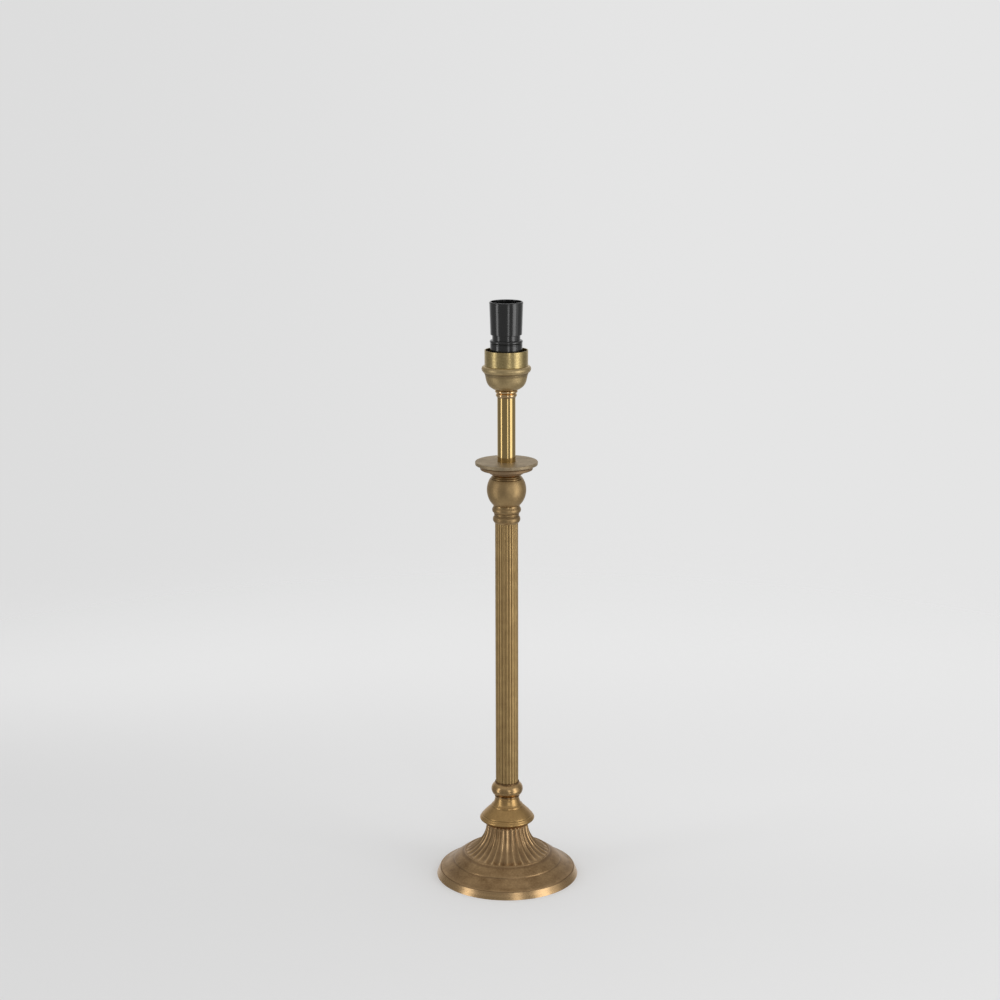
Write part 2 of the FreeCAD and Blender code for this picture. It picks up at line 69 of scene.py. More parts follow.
def close_ends(points, joined, hollow):
    """Closes an open outline: loose ends at one height are joined, others meet the axis.

    The two loose ends of a hollow node meet at the inner corner of its wall instead."""
    loose = [i for i in joined if len(joined[i]) == 1]
    while loose:
        i = loose.pop()
        level = [j for j in loose if abs(points[j][1] - points[i][1]) < ON_PLANE]
        if level:
            j = min(level, key=lambda k: abs(points[k][0] - points[i][0]))
            loose.remove(j)
            link(joined, i, j)
        elif hollow and loose:
            j = loose.pop()
            points.append((max(points[i][0], points[j][0]), min(points[i][1], points[j][1])))
            link(joined, len(points) - 1, i)
            link(joined, len(points) - 1, j)
        else:
            points.append((0.0, points[i][1]))
            link(joined, len(points) - 1, i)


def walked(points, joined):
    """An outline's points in their order, each followed by the nearest one joined to it."""
    ends = [i for i in joined if len(joined[i]) == 1]
    walk = [ends[0] if ends else max(joined, key=lambda i: points[i][0])]
    while True:
        r, z = points[walk[-1]]
        onward = [j for j in joined[walk[-1]] if j not in walk]
        if not onward:
            return [points[i] for i in walk]
        walk.append(min(onward, key=lambda j: abs(points[j][0] - r) + abs(points[j][1] - z)))


def half_plane(node, turn=0.0, centre=(0.0, 0.0), hollow=False):
    """The closed (radius, height) outline of a turned node, read on one half-plane.

    turn is the half-plane's angle and centre is where the node's axis stands."""
    mesh = NODES[node].data
    c, s = math.cos(turn), math.sin(turn)
    points = []
    place = {}
    for v in mesh.vertices:
        x, y = v.co.x - centre[0], v.co.y - centre[1]
        radius, aside = x * c + y * s, y * c - x * s
        if abs(aside) > ON_PLANE or radius < -ON_PLANE:
            continue
        for i, (r, z) in enumerate(points):
            if abs(r - radius) < SAME_POINT and abs(z - v.co.z) < SAME_POINT:
                place[v.index] = i
                break
        else:
            place[v.index] = len(points)
            points.append((radius, v.co.z))
    joined = {i: set() for i in range(len(points))}
    for e in mesh.edges:
        a, b = place.get(e.vertices[0]), place.get(e.vertices[1])
        if a is not None and b is not None and a != b:
            link(joined, a, b)
    close_ends(points, joined, hollow)
    return walked(points, joined)


NAMED_WITHIN = 0.06         # mm: how exactly a point has to be named
EASED_SHARE = 0.3           # an eased corner takes at most this share of its side
STRAIGHT = 0.02             # radians: a side that bends less is straight
HELD = 0.3                  # mm: a long side has points this far from its ends, to shade flat
CURVE_STEPS = (3, 16)       # the fewest and the most steps of one curved side
EASED_AT = (0.25, 0.5, 0.75)    # shares of an eased corner at which it has points
LEAST_STEP = 2e-6           # points of a finished outline are further apart


def unit(vector):
    return vector / max(np.linalg.norm(vector), TINY)


def curve_point(a, b, leaving, arriving, length, t):
    """The point at share t of a curve from a to b that has a direction at each end."""
    h = (2 * t ** 3 - 3 * t ** 2 + 1, t ** 3 - 2 * t ** 2 + t,
         -2 * t ** 3 + 3 * t ** 2, t ** 3 - t ** 2)
    return h[0] * a + h[1] * length * leaving + h[2] * b + h[3] * length * arriving


def without_doubles(points):
    """The points as plain pairs, none left of the axis and no two in one place."""
    clean = []
    for q in points:
        q = (max(0.0, float(q[0])), float(q[1]))
        if not clean or math.dist(q, clean[-1]) > LEAST_STEP:
            clean.append(q)
    if math.dist(clean[0], clean[-1]) < LEAST_STEP:
        clean.pop()
    return clean


def refined(outline, corner=50.0, fillet=0.25, sharp=(), step=0.5, closed=True):
    """The outline with its gentle bends rounded into curves and its corners eased.

    corner is the turn in degrees from which a point is a corner. fillet and step
    are in mm; sharp names points, in mm, that are corners whatever their turn."""
    n = len(outline)
    p = [np.array(q, float) for q in outline]

    def named(q):
        return any(abs(q[0] / MM - r) < NAMED_WITHIN and abs(q[1] / MM - z) < NAMED_WITHIN
                   for r, z in sharp)

    def turn_at(i):
        a, b = p[i] - p[i - 1], p[(i + 1) % n] - p[i]
        return math.degrees(abs(math.atan2(a[0] * b[1] - a[1] * b[0], float(a @ b))))

    def cut_back(length):
        return min(fillet * MM, EASED_SHARE * length)

    is_corner = [turn_at(i) > corner or named(p[i]) for i in range(n)]
    if not closed:
        is_corner[0] = is_corner[-1] = True
    eased = [c and q[0] > ON_AXIS for c, q in zip(is_corner, p)]
    along = []
    for i in range(n):
        before, after = p[i] - p[i - 1], p[(i + 1) % n] - p[i]
        if is_corner[i]:
            along.append((unit(before), unit(after)))
        else:
            along.append((unit(before + after), unit(before + after)))
    out = []
    for i in range(n if closed else n - 1):
        j = (i + 1) % n
        a, b = p[i], p[j]
        length = float(np.linalg.norm(b - a))
        straight = (b - a) / max(length, TINY)
        leaving, arriving = along[i][1], along[j][0]
        start = cut_back(length) / max(length, TINY) if eased[i] else 0.0
        end = 1 - cut_back(length) / max(length, TINY) if eased[j] else 1.0
        bend = max(math.acos(max(-1.0, min(1.0, float(way @ straight))))
                   for way in (leaving, arriving))
        if bend >= STRAIGHT:
            count = max(CURVE_STEPS[0], min(CURVE_STEPS[1], int(length / (step * MM)) + 1))
            shares = [start + (end - start) * k / count for k in range(count + 1)]
        elif length > 4 * fillet * MM:
            shares = [start, start + HELD * MM / length, end - HELD * MM / length, end]
        else:
            shares = [start, end]
        piece = [curve_point(a, b, leaving, arriving, length, t) for t in shares]
        out.extend(piece[1:] if out and not is_corner[i] else piece)
        if eased[j] and (closed or j != n - 1):
            # an eased corner: one quadratic bend between the two shortened sides
            onward = float(np.linalg.norm(p[(j + 1) % n] - p[j]))
            far = p[j] + along[j][1] * cut_back(onward)
            near = out[-1]
            for t in EASED_AT:
                out.append((1 - t) ** 2 * near + 2 * t * (1 - t) * p[j] + t * t * far)
    if closed and not is_corner[0]:
        out = out[:-1]
    return without_doubles(out)


def signed_area(outline):
    return 0.5 * sum(a[0] * b[1] - b[0] * a[1]
                     for a, b in zip(outline, outline[1:] + outline[:1]))


def scribed(outline, lines):
    """The outline with fine turned lines in its outer side: (height, width, depth) in mm.

    A negative depth stands proud."""
    sides = list(zip(outline, outline[1:] + outline[:1]))
    found = []
    for height, width, depth in lines:
        z = height * MM
        radii = [a[0] + (b[0] - a[0]) * (z - a[1]) / (b[1] - a[1]) for a, b in sides
                 if min(a[1], b[1]) <= z <= max(a[1], b[1]) and a[1] != b[1]]
        found.append(((max(radii), z), width * MM, depth * MM))
    out = []
    for q, onward in sides:
        out.append(q)
        length = math.dist(q, onward)
        middle = ((q[0] + onward[0]) / 2, (q[1] + onward[1]) / 2)
        for place, width, depth in found:
            if math.dist(middle, place) < length / 2 + 3 * width:
                count = max(1, int(length / (width / 3)))
                out += [(q[0] + (onward[0] - q[0]) * k / count,
                         q[1] + (onward[1] - q[1]) * k / count) for k in range(1, count)]
                break
    sign = 1.0 if signed_area(out) > 0 else -1.0
    moved = []
    for i, q in enumerate(out):
        a, b = out[i - 1], out[(i + 1) % len(out)]
        along = (b[0] - a[0], b[1] - a[1])
        size = max(math.hypot(*along), TINY)
        inward = (-sign * along[1] / size, sign * along[0] / size)
        push = sum(depth * math.exp(-(math.dist(q, place) / width) ** 2)
                   for place, width, depth in found)
        moved.append((q[0] + inward[0] * push, q[1] + inward[1] * push))
    return moved


MOST_SOIL = 0.6      # the most soil that a hollow of an outline gathers
SOIL_TURN = 2.4      # radians of inward bends that would make the soil 1
WEAR_TURN = 1.6      # radians of outward bends that make the wear 1


def groove_marks(outline, reach=1.0):
    """Marks of an outline: soil gathers near inward bends, wear near outward ones.

    reach is in mm."""
    n = len(outline)
    sign = 1.0 if signed_area(outline) > 0 else -1.0
    turns = []
    for i in range(n):
        a, q, b = outline[i - 1], outline[i], outline[(i + 1) % n]
        before, after = (q[0] - a[0], q[1] - a[1]), (b[0] - q[0], b[1] - q[1])
        turns.append(sign * math.atan2(before[0] * after[1] - before[1] * after[0],
                                       before[0] * after[0] + before[1] * after[1]))
    soil_and_shade, wear = [0.0] * n, [0.0] * n
    for i in range(n):
        for j in range(n):
            away = math.dist(outline[i], outline[j]) / MM
            if away < 3 * reach:
                weight = math.exp(-(away / reach) ** 2)
                soil_and_shade[i] += max(0.0, -turns[j]) * weight
                wear[i] += max(0.0, turns[j]) * weight
    return [min(MOST_SOIL, s / SOIL_TURN) for s in soil_and_shade], [min(1.0, w / WEAR_TURN) for w in wear]


# ---------------------------------------------------------------- meshes
CREASE = 38.0        # degrees: faces that meet at more than this have a crease
RIBBED_CREASE = 50.0     # the same for flutes, reeds and the springs' wire
MERGED = 1e-7        # vertices nearer than this become one
EVEN_WEAR = 0.5      # the wear of a plain face


def placed(name, data):
    """A new object of the scene that holds the data."""
    made = bpy.data.objects.new(name, data)
    bpy.context.scene.collection.objects.link(made)
    return made


def placed_mesh(name, bm):
    """A new object of the scene made from a bmesh, which is freed."""
    mesh = bpy.data.meshes.new(name)
    bm.to_mesh(mesh)
    bm.free()
    return placed(name, mesh)


def shaded(mesh, limit=CREASE):
    """Smooth faces, with a crease where two of them meet at more than the limit."""
    bm = bmesh.new()
    bm.from_mesh(mesh)
    bmesh.ops.remove_doubles(bm, verts=bm.verts, dist=MERGED)
    bmesh.ops.recalc_face_normals(bm, faces=bm.faces)
    for f in bm.faces:
        f.smooth = True
    for e in bm.edges:
        if len(e.link_faces) == 2:
            e.smooth = e.calc_face_angle(0.0) < math.radians(limit)
    bm.to_mesh(mesh)
    bm.free()


def marked(mesh, name, values):
    """Gives each vertex a value that the materials read by its name."""
    layer = mesh.attributes.new(name, "FLOAT", "POINT")
    layer.data.foreach_set("value", np.asarray(values, dtype=np.float32))


def even_angles(count):
    return [2 * math.pi * k / count for k in range(count)]


def ribbed_angles(ribs, samples):
    """Angles round an axis that lie closest together where two flutes or reeds meet."""
    shares = [(1 - math.cos(math.pi * k / samples)) / 2 for k in range(samples)]
    return [2 * math.pi * (i + share) / ribs for i in range(ribs) for share in shares]


def across_rib(angle, ribs):
    """Where an angle lies across its flute or reed, from -1 to 1."""
    return 2 * ((angle * ribs / (2 * math.pi)) % 1.0) - 1


def spun(outline, angles, centre=(0.0, 0.0), shape=None):
    """Vertices, faces and the marks of a solid swept round an upright axis.

    shape(row, radius, height, angle) gives (radius, height, wear, soil and painted shade)."""
    vertices, faces, wear, soil_and_shade = [], [], [], []
    rows = []
    count = len(angles)
    for i, (r, z) in enumerate(outline):
        if r < ON_AXIS:
            vertices.append((centre[0], centre[1], z))
            wear.append(EVEN_WEAR)
            soil_and_shade.append(0.0)
            rows.append([len(vertices) - 1] * count)
            continue
        row = []
        for angle in angles:
            radius, height, w, d = shape(i, r, z, angle) if shape else (r, z, EVEN_WEAR, 0.0)
            vertices.append((centre[0] + radius * math.cos(angle),
                             centre[1] + radius * math.sin(angle), height))
            wear.append(w)
            soil_and_shade.append(d)
            row.append(len(vertices) - 1)
        rows.append(row)
    for low, high in zip(rows, rows[1:] + rows[:1]):
        for k in range(count):
            quad = [low[k], low[(k + 1) % count], high[(k + 1) % count], high[k]]
            distinct = list(dict.fromkeys(quad))
            if len(distinct) > 2:
                faces.append(distinct)
    return vertices, faces, wear, soil_and_shade


def add_piece(name, parts, material, nodes, body="lamp", limit=CREASE):
    """A piece of the scene, from what spun gives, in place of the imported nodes."""
    vertices, faces, wear, soil_and_shade = parts
    mesh = bpy.data.meshes.new(name)
    mesh.from_pydata(vertices, [], faces)
    marked(mesh, "wear", wear)
    marked(mesh, "soil_and_shade", soil_and_shade)
    mesh.materials.append(material)
    piece = placed(name, mesh)
    shaded(mesh, limit)
    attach(piece, body)
    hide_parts(*nodes)
    return piece


def lathe(node, material, corner=50.0, fillet=0.25, columns=160, turn=0.0,
          centre=(0.0, 0.0), hollow=False, body="lamp", lines=(), soiled=1.0,
          plain=EVEN_WEAR, edge=1.0, lift=None, painted_shade_below=None):
    """A turned node drawn again: refined, scribed with its lines, and marked.

    soiled scales the dirt in its hollows, edge the wear of its edges, and plain is the
    wear of its flats. lift = (height in mm, wear) rubs what lies above a height. The last
    argument, (height in mm, share), is painted shade: what lies below that height is
    darkened towards the material's dark colour."""
    outline = refined(half_plane(node, turn, centre, hollow), corner, fillet)
    if lines:
        outline = scribed(outline, lines)
    dirt, worn = groove_marks(outline)
    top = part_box(node)[1].z
    outline = [(r, min(z, top)) for r, z in outline]

    def shape(i, r, z, angle):
        wear, soil_and_shade = plain + (1 - plain) * edge * worn[i], soiled * dirt[i]
        if lift:
            wear = min(1.0, wear + lift[1] * max(0.0, min(1.0, z / MM - lift[0])))
        # painted shade: below the given height the soil mark is raised, so the colour there
        # darkens
        if painted_shade_below and z < painted_shade_below[0] * MM:
            soil_and_shade = max(soil_and_shade, painted_shade_below[1])
        return r, z, wear, soil_and_shade

    parts = spun(outline, even_angles(columns), centre, shape)
    return add_piece(node + "_turned", parts, material, [node], body)


def carved(piece, cutters):
    """Takes the cutters out of a piece for good, then removes them."""
    for cutter in cutters:
        cut = piece.modifiers.new("cut", "BOOLEAN")
        cut.operation = "DIFFERENCE"
        cut.solver = "EXACT"
        cut.object = cutter
    bpy.context.view_layer.update()
    evaluated = piece.evaluated_get(bpy.context.evaluated_depsgraph_get())
    made = bpy.data.meshes.new_from_object(evaluated)
    piece.modifiers.clear()
    old = piece.data
    made.name = old.name
    piece.data = made
    bpy.data.meshes.remove(old)
    for cutter in cutters:
        data = cutter.data
        bpy.data.objects.remove(cutter)
        bpy.data.meshes.remove(data)
    shaded(piece.data)


def bored(piece, radius, start, end, sides=48):
    """Cuts a round hole through a piece, between two points."""
    start, end = Vector(start), Vector(end)
    way = end - start
    turn = way.to_track_quat("Z", "Y").to_matrix().to_4x4()
    bm = bmesh.new()
    bmesh.ops.create_cone(bm, cap_ends=True, segments=sides, radius1=radius, radius2=radius,
                          depth=way.length, matrix=Matrix.Translation((start + end) / 2) @ turn)
    carved(piece, [placed_mesh("cutter", bm)])


# ---------------------------------------------------------------- materials
class Tree:
    """A node tree, built a node at a time."""

    def __init__(self, tree):
        self.tree = tree

    def add(self, kind, inputs=None, **settings):
        node = self.tree.nodes.new(kind)
        for key, value in settings.items():
            setattr(node, key, value)
        for key, value in (inputs or {}).items():
            self.feed(node, key, value)
        return node

    def feed(self, node, key, value):
        if isinstance(value, bpy.types.NodeSocket):
            self.tree.links.new(value, node.inputs[key])
        else:
            node.inputs[key].default_value = value

    def maths(self, operation, a, b=0.0, c=None, clamp=False):
        values = {0: a, 1: b}
        if c is not None:
            values[2] = c
        return self.add("ShaderNodeMath", values, operation=operation, use_clamp=clamp).outputs[0]

    def swayed(self, base, by, share, clamp=False):
        """The base, raised where what sways it is over a half and lowered where it is under."""
        return self.maths("MULTIPLY_ADD", self.maths("SUBTRACT", by, 0.5), share, base, clamp)

    def place(self):
        return self.add("ShaderNodeTexCoord").outputs["Object"]

    def apart(self, vector):
        return self.add("ShaderNodeSeparateXYZ", {0: vector}).outputs

    def length(self, x, y):
        return self.maths("SQRT", self.maths("ADD", self.maths("MULTIPLY", x, x),
                                             self.maths("MULTIPLY", y, y)))

    def noise(self, vector, scale, detail=2.0, roughness=0.5):
        return self.add("ShaderNodeTexNoise", {"Vector": vector, "Scale": scale, "Detail": detail,
                                               "Roughness": roughness}).outputs["Fac"]

    def spread(self, value, low, high, to_low=0.0, to_high=1.0):
        return self.add("ShaderNodeMapRange", {"Value": value, "From Min": low, "From Max": high,
                                               "To Min": to_low, "To Max": to_high},
                        interpolation_type="SMOOTHSTEP").outputs[0]

    def blend(self, share, a, b):
        node = self.add("ShaderNodeMix", data_type="RGBA")
        self.feed(node, 0, share)
        self.feed(node, 6, a)
        self.feed(node, 7, b)
        return node.outputs[2]

    def mark(self, name):
        return self.add("ShaderNodeAttribute", attribute_name=name).outputs["Fac"]

    def mapped(self, vector, turn, scale):
        return self.add("ShaderNodeMapping", {"Vector": vector, "Rotation": (0, 0, turn),
                                              "Scale": scale}).outputs[0]

    def round_and_up(self, vector, round_scale, up_scale):
        """(radius, 0, height) of a point, stretched: what is drawn on it runs round."""
        x, y, z = self.apart(vector)
        radius = self.maths("MULTIPLY", self.length(x, y), round_scale)
        height = self.maths("MULTIPLY", z, up_scale)
        return self.add("ShaderNodeCombineXYZ", {0: radius, 2: height}).outputs[0]

    def bump(self, height, strength, distance, normal=None):
        inputs = {"Height": height, "Strength": strength, "Distance": distance}
        if normal is not None:
            inputs["Normal"] = normal
        return self.add("ShaderNodeBump", inputs).outputs[0]


class Surface(Tree):
    """The tree of a new material, with its shader."""

    def __init__(self, name):
        self.material = bpy.data.materials.new(name)
        self.material.use_nodes = True
        super().__init__(self.material.node_tree)
        self.shader = self.tree.nodes["Principled BSDF"]


def rgb(red, green, blue):
    """A colour written as sRGB 0-255, as the scene's linear colour."""
    linear = []
    for value in (red, green, blue):
        value /= 255
        linear.append(value / 12.92 if value <= 0.04045 else ((value + 0.055) / 1.055) ** 2.4)
    return (*linear, 1.0)


def grey(level):
    return rgb(level, level, level)


def linear_grey(share):
    return (share, share, share, 1)


TURNING_SCALE = 3200.0       # noise scale of the fine marks of the lathe
SPECK_SCALE = 2600.0         # and of the specks in old brass
DEEP, SHALLOW = 0.06 * MM, 0.03 * MM     # how far a bump of 1 stands out


def scratches(t, place, patches, strength):
    """Two crossed sets of scratches, stronger in some patches than in others."""
    turned = t.mapped(place, 0.5, (90, 2600, 90))
    across = t.mapped(place, -0.9, (2200, 70, 80))
    marks = t.maths("MAXIMUM", t.spread(t.noise(turned, 1.0), 0.6, 0.72),
                    t.spread(t.noise(across, 1.0), 0.63, 0.74))
    return t.maths("MULTIPLY", marks, t.spread(patches, 0.4, 0.6, strength * 0.3, strength))


def brass(name, clean, aged, dirt, gloss, blotch=80.0, lines=0.2, age=0.5, contrast=1.5,
          grain=1.0, scratched=0.0):
    """Old brass: clean where it is rubbed, aged between, dark in its hollows and where it has
    painted shade.

    gloss is the least and the most roughness, and blotch the scale of the patches.
    age, up to 1, is how clean they are on average, and contrast how unlike each other.
    lines, grain and scratched are the strengths of turning marks, specks and scratches."""
    t = Surface(name)
    place = t.place()
    wide = t.noise(place, blotch, 4.0, 0.62)
    small = t.noise(place, blotch * 9, 3.0, 0.6)
    speck = t.noise(place, SPECK_SCALE, 1.0)
    turning = t.noise(t.round_and_up(place, TURNING_SCALE, TURNING_SCALE), 1.0, roughness=0.7)
    # rubbed edges are less patchy than the rest
    patchy = t.spread(t.mark("wear"), 0.62, 0.75, 1.0, 0.15)

    patches = t.maths("ADD", t.maths("MULTIPLY", wide, 0.62), t.maths("MULTIPLY", small, 0.38))
    uneven = t.maths("MULTIPLY", t.maths("SUBTRACT", patches, 0.5), patchy)
    cleanness = t.maths("MULTIPLY_ADD", uneven, contrast, age)
    cleanness = t.swayed(cleanness, turning, lines * 1.6)
    cleanness = t.swayed(cleanness, t.mark("wear"), 0.9, clamp=True)
    colour = t.blend(cleanness, aged, clean)
    if scratched:
        colour = t.blend(scratches(t, place, wide, scratched), colour, dirt)
    # the soil mark holds dirt in hollows and, on the drip pan, painted shade; both darken the
    # colour
    soil_and_shade = t.maths("MULTIPLY", t.mark("soil_and_shade"), t.spread(small, 0.3, 0.6, 0.65, 1.0), clamp=True)
    colour = t.blend(soil_and_shade, colour, dirt)
    specks = t.maths("MULTIPLY", t.spread(speck, 0.66, 0.76, 0.0, 0.4 * grain), patchy)
    t.feed(t.shader, "Base Color", t.blend(specks, colour, dirt))
    t.feed(t.shader, "Metallic", 1.0)

    rough = t.maths("MULTIPLY_ADD", t.maths("SUBTRACT", 1.0, cleanness), gloss[1] - gloss[0],
                    gloss[0])
    rough = t.maths("MULTIPLY_ADD", soil_and_shade, 0.18, rough)
    rubbed = t.spread(t.mark("wear"), 0.55, 1.0)
    rough = t.maths("MULTIPLY_ADD", rubbed, -0.5 * gloss[0], rough)
    ripple = t.maths("MULTIPLY", t.maths("SUBTRACT", small, 0.5), patchy)
    t.feed(t.shader, "Roughness", t.maths("MULTIPLY_ADD", ripple, 0.12 * grain, rough, True))

    normal = t.bump(turning, lines, DEEP)
    normal = t.bump(ripple, 0.16 * grain, DEEP, normal)
    normal = t.bump(t.maths("MULTIPLY", speck, patchy), 0.12 * grain, SHALLOW, normal)
    t.feed(t.shader, "Normal", normal)
    return t.material


def moulded(name, colour, pale, gloss, grain, coat=0.0, level=0.5):
    """Moulded black plastic, with handling marks and a little dust in its gloss."""
    t = Surface(name)
    place = t.place()
    cloud = t.noise(place, 90.0, 3.0, 0.6)
    grit = t.noise(place, 1800.0, 2.0, 0.6)
    sweep = t.noise(t.round_and_up(place, 1500.0, 1500.0), 1.0, roughness=0.6)
    dust = t.maths("MULTIPLY", t.spread(grit, 0.62, 0.78), t.spread(cloud, 0.42, 0.62, 0.1, 0.7))
    t.feed(t.shader, "Base Color", t.blend(dust, colour, pale))
    rough = t.maths("MULTIPLY_ADD", dust, 0.08, t.swayed(gloss, cloud, 0.1), True)
    t.feed(t.shader, "Roughness", rough)
    t.feed(t.shader, "Normal", t.bump(sweep, grain, 0.04 * MM, t.bump(grit, grain, SHALLOW)))
    t.shader.inputs["Specular IOR Level"].default_value = level
    t.shader.inputs["Coat Weight"].default_value = coat
    t.shader.inputs["Coat Roughness"].default_value = 0.12
    return t.material


def plated(name, colour, dull, rough):
    """Plain steel or brass hardware, lightly dulled."""
    t = Surface(name)
    place = t.place()
    cloud = t.noise(place, 260.0, 3.0, 0.6)
    grain = t.noise(t.round_and_up(place, 900.0, 2700.0), 1.0, roughness=0.6)
    t.feed(t.shader, "Base Color", t.blend(t.spread(cloud, 0.35, 0.65), dull, colour))
    t.feed(t.shader, "Metallic", 1.0)
    t.feed(t.shader, "Roughness", t.swayed(rough, grain, 0.2, clamp=True))
    t.feed(t.shader, "Normal", t.bump(grain, 0.2, 0.04 * MM))
    return t.material


def felted(name, dark, light):
    """Pressed felt: short fibres lying all ways."""
    t = Surface(name)
    place = t.place()
    fibres = t.noise(place, 1500.0, 6.0, 0.75)
    tufts = t.noise(place, 240.0, 3.0, 0.6)
    lint = t.add("ShaderNodeTexVoronoi", {"Vector": place, "Scale": 900.0},
                 feature="DISTANCE_TO_EDGE").outputs["Distance"]
    shade = t.swayed(fibres, tufts, 0.8, clamp=True)
    t.feed(t.shader, "Base Color", t.blend(shade, dark, light))
    t.feed(t.shader, "Roughness", 0.95)
    t.shader.inputs["Sheen Weight"].default_value = 0.35
    t.shader.inputs["Sheen Roughness"].default_value = 0.5
    t.feed(t.shader, "Normal", t.bump(fibres, 0.8, 0.3 * MM, t.bump(lint, 0.3, 0.2 * MM)))
    return t.material


AGED_DIRT = rgb(58, 40, 30)
antique = brass("AntiqueBrass", rgb(214, 176, 117), rgb(150, 117, 74), AGED_DIRT,
                gloss=(0.3, 0.42), blotch=60.0)
satin = brass("SatinBrass", rgb(200, 171, 122), rgb(150, 124, 89), AGED_DIRT,
              gloss=(0.4, 0.52), blotch=60.0, lines=0.3)
fluted = brass("FlutedBrass", rgb(223, 187, 139), rgb(130, 102, 69), rgb(80, 59, 47),
               gloss=(0.3, 0.42), blotch=60.0, lines=0.12, age=0.45)
reeded = brass("ReededBrass", rgb(215, 183, 127), rgb(152, 123, 82), rgb(84, 62, 42),
               gloss=(0.4, 0.5), blotch=90.0, lines=0.1)
polished = brass("PolishedBrass", rgb(253, 231, 166), rgb(234, 204, 136), rgb(90, 66, 40),
                 gloss=(0.24, 0.3), lines=0.04, age=0.65, contrast=0.8, grain=0.05)
matt = brass("MattBrass", rgb(211, 188, 141), rgb(154, 133, 96), rgb(80, 62, 48),
             gloss=(0.42, 0.56), blotch=90.0, lines=0.5, contrast=1.8)
# its warm brown dark colour is also the painted shade under the drip pan's top
dull = brass("DullBrass", rgb(206, 187, 152), rgb(143, 127, 105), rgb(142, 98, 62),
             gloss=(0.44, 0.58), blotch=90.0, lines=0.12, contrast=1.8, grain=0.25,
             scratched=0.7)
copper = brass("WarmBrass", rgb(209, 175, 124), rgb(153, 121, 83), rgb(80, 50, 36),
               gloss=(0.22, 0.34))
candle_brass = brass("CandleBrass", rgb(197, 169, 113), rgb(158, 129, 81), rgb(86, 58, 36),
                     gloss=(0.2, 0.27), lines=0.04, age=0.6, contrast=0.8, grain=0.05)
warm_polish = brass("WarmPolish", rgb(222, 191, 144), rgb(173, 142, 104), rgb(82, 56, 42),
                    gloss=(0.15, 0.22), lines=0.05, age=0.6, contrast=1.0, grain=0.1)
collar_brass = brass("CollarBrass", rgb(190, 160, 114), rgb(134, 109, 76), AGED_DIRT,
                     gloss=(0.38, 0.5), blotch=70.0, contrast=1.6)
ring_brass = brass("RingBrass", rgb(226, 182, 116), rgb(132, 88, 54), rgb(70, 42, 30),
                   gloss=(0.12, 0.2), lines=0.1, age=0.4, contrast=2.2, grain=0.2)
black = moulded("BlackPhenolic", grey(18), grey(62), gloss=0.19, grain=0.01, coat=0.3,
                level=0.75)
inner_black = moulded("InnerPlastic", rgb(40, 37, 34), rgb(96, 92, 88), gloss=0.42, grain=0.2)
bush_black = moulded("BushPlastic", rgb(36, 34, 33), rgb(90, 88, 86), gloss=0.38, grain=0.15)
contact_metal = plated("ContactBrass", rgb(214, 182, 112), rgb(150, 116, 64), 0.26)
spring_metal = plated("SpringWire", rgb(196, 197, 200), rgb(140, 140, 142), 0.24)
zinc = plated("ZincSteel", rgb(188, 186, 180), rgb(128, 124, 116), 0.34)
felt = felted("GreenFelt", rgb(22, 32, 25), rgb(64, 82, 66))


# ---------------------------------------------------------------- foot
FLUTES = 32
FLUTE_SAMPLES = 12          # vertices across one flute
FLUTE_SHARE = 0.042         # the depth of a flute as a share of the radius
FLUTE_ENDS = (0.012, 0.985)     # where a flute begins and ends, as shares of the bell's curve
FLUTE_FULL = (0.115, 0.93)      # between these it has its full width

BELL_EDGE = (42.9, 24.4)    # mm: where the bell meets its border ring
BELL_CROWN = (21.4, 56.6)   # mm: where it meets the seat of the knop
EDGE_PULL = 17.2            # mm: how strongly it leaves its edge
EDGE_RISE = math.radians(27.3)      # and how steeply
CROWN_PULL = 13.2           # mm: how strongly it comes upright at its crown
BELL = [np.array(q) * MM for q in (
    BELL_EDGE,
    (BELL_EDGE[0] - EDGE_PULL * math.cos(EDGE_RISE),
     BELL_EDGE[1] + EDGE_PULL * math.sin(EDGE_RISE)),
    (BELL_CROWN[0], BELL_CROWN[1] - CROWN_PULL),
    BELL_CROWN)]
# shares of the bell's curve, each with the steps that lead to it: closest at the flutes' heads
BELL_STOPS = ((0.012, 2), (0.12, 12), (0.92, 34), (1.0, 10))
WITHIN_CROWN = 20.6 * MM    # a radius that the foot's outline reaches only inside the bell
BORDER_POINT = (43.95, 23.85)       # mm: a corner of the border ring

# radii and heights in mm that tell where the marks on the foot lie
PLATE_RIM = (69.5, 7.3)     # the plate's rim is outside this radius and under this height
BORDER_RING = (42.0, 18.0)  # the border ring is outside this radius and over this height
BORDER_FOOT = (44.2, 20.0)  # and so is the groove at its foot
GROOVE = 45.8               # radius of that groove
GROOVE_REACH = 2.2          # how far from there its dirt reaches
SEAT_FROM, SEAT_OVER = 53.0, 3.0    # the bell's marks fade out from this height, over this rise

BUSH_HOLE = 3.05 * MM       # radius of the hole for the cord's bush
BUSH_HEIGHT = 4.9 * MM      # height of the bush's middle
BUSH_FROM, BUSH_TO = 55 * MM, 80 * MM       # the hole runs from inside the foot out of its back


def bell_point(t):
    w = ((1 - t) ** 3, 3 * t * (1 - t) ** 2, 3 * t * t * (1 - t), t ** 3)
    return sum(a * b for a, b in zip(w, BELL))


def flute_depth(t, across):
    """Depth of a flute as a share of the radius: rounded at both of its heads."""
    (start, end), (head, tail) = FLUTE_ENDS, FLUTE_FULL
    beyond = max((head - t) / (head - start), (t - tail) / (end - tail), 0.0)
    width = math.sqrt(max(0.0, 1 - beyond ** 2))
    if abs(across) >= width:
        return 0.0
    return FLUTE_SHARE * width ** 0.8 * (1 - (across / width) ** 2)


def nearest(points, place):
    return min(range(len(points)), key=lambda i: math.dist(points[i], place))


